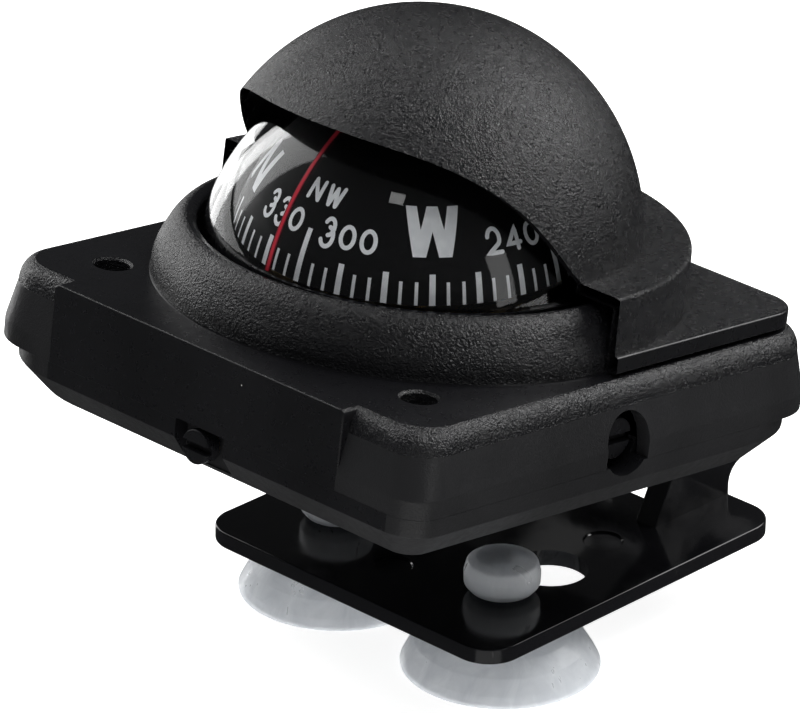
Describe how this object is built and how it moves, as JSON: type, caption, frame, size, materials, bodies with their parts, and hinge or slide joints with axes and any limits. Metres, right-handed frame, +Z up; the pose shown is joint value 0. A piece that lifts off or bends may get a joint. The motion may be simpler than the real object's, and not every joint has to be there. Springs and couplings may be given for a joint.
{
  "type": "dash-mount dome compass",
  "caption": "Liquid-filled marine dome compass in a square housing with clip-on half-dome sun hood, on a tilting bracket that stands on clear suction cups.",
  "frame": {"origin": "middle of the bounding box's base, on the surface the suction cups stand on", "axes": "+X to the right seen by the user in front, +Y away from the user towards the hinge, +Z up"},
  "size_m": [0.0818, 0.0968, 0.0907],
  "materials": {
    "black_textured": "fine spark-eroded grain, semi-matt",
    "black_satin": "smooth satin",
    "black_gloss": "polished, mirror-like",
    "clear_dome": "clear acrylic, polished",
    "clear_vinyl": "soft translucent vinyl",
    "card_black": "matt black with white markings",
    "lubber_red": "red line",
    "seal_rubber": "matt",
    "steel": "plain",
    "brass": "machined",
    "magnet": "ground",
    "jewel": "polished",
    "capsule_plastic": "moulded, off-white"
  },
  "bodies": {
    "bracket": {"bracket": "black_gloss", "suction_cup_left": "clear_vinyl", "suction_cup_right": "clear_vinyl", "hinge_bolt": "steel", "hinge_nut": "steel", "hinge_washer_left": "seal_rubber", "hinge_washer_right": "seal_rubber"},
    "housing": {"upper_housing": "black_textured", "lower_housing": "black_satin", "dome": "clear_dome", "bowl": "black_satin", "dome_seal": "seal_rubber", "clamp_ring": "black_satin", "clamp_screw_1": "steel", "clamp_screw_2": "steel", "clamp_screw_3": "steel", "clamp_screw_4": "steel", "diaphragm": "seal_rubber", "diaphragm_cover": "capsule_plastic", "filler_plug": "steel", "lubber_line": "lubber_red", "gimbal_bearing_left": "capsule_plastic", "gimbal_bearing_right": "capsule_plastic", "compensator_cradle": "black_satin", "case_screw_1": "steel", "case_screw_2": "steel", "case_screw_3": "steel", "case_screw_4": "steel"},
    "hood": {"hood": "black_textured"},
    "gimbal": {"gimbal_ring": "brass", "gimbal_pin_left": "steel", "gimbal_pin_right": "steel", "gimbal_pin_front": "steel", "gimbal_pin_rear": "steel"},
    "yoke": {"gimbal_yoke": "brass", "counterweight": "brass", "pivot_pin": "steel"},
    "card": {"compass_card": "card_black", "jewel_cup": "jewel", "magnet_carrier": "capsule_plastic", "card_magnet_left": "magnet", "card_magnet_right": "magnet"},
    "compensator_ns": {"compensator_shaft_ns": "brass", "compensator_magnet_ns_front": "magnet", "compensator_magnet_ns_rear": "magnet"},
    "compensator_ew": {"compensator_shaft_ew": "brass", "compensator_magnet_ew_left": "magnet", "compensator_magnet_ew_right": "magnet"}
  },
  "joints": [
    {"name": "housing_tilt", "type": "hinge", "parent": "bracket", "child": "housing", "pos_m": [0, 0.04045, 0.0229], "axis": [1, 0, 0], "range_deg": [-75, 18]},
    {"name": "hood_lift", "type": "slide", "parent": "housing", "child": "hood", "axis": [0, 0.1297, 0.9916], "range_m": [0, 0.015]},
    {"name": "gimbal_pitch", "type": "hinge", "parent": "housing", "child": "gimbal", "pos_m": [0, -0.00503, 0.05536], "axis": [1, 0, 0], "range_deg": [-22.45, 7.55]},
    {"name": "gimbal_roll", "type": "hinge", "parent": "gimbal", "child": "yoke", "pos_m": [0, -0.00503, 0.05536], "axis": [0, 1, 0], "range_deg": [-10.1, 5.9]},
    {"name": "card_heading", "type": "hinge", "parent": "yoke", "child": "card", "pos_m": [0, -0.00503, 0.05536], "axis": [0.0366, 0, 0.9993], "continuous": true},
    {"name": "compensator_ns_turn", "type": "hinge", "parent": "housing", "child": "compensator_ns", "pos_m": [0.0016, -0.00731, 0.0379], "axis": [0, 0.9916, -0.1297], "continuous": true},
    {"name": "compensator_ew_turn", "type": "hinge", "parent": "housing", "child": "compensator_ew", "pos_m": [0, -0.00661, 0.04326], "axis": [1, 0, 0], "continuous": true}
  ]
}
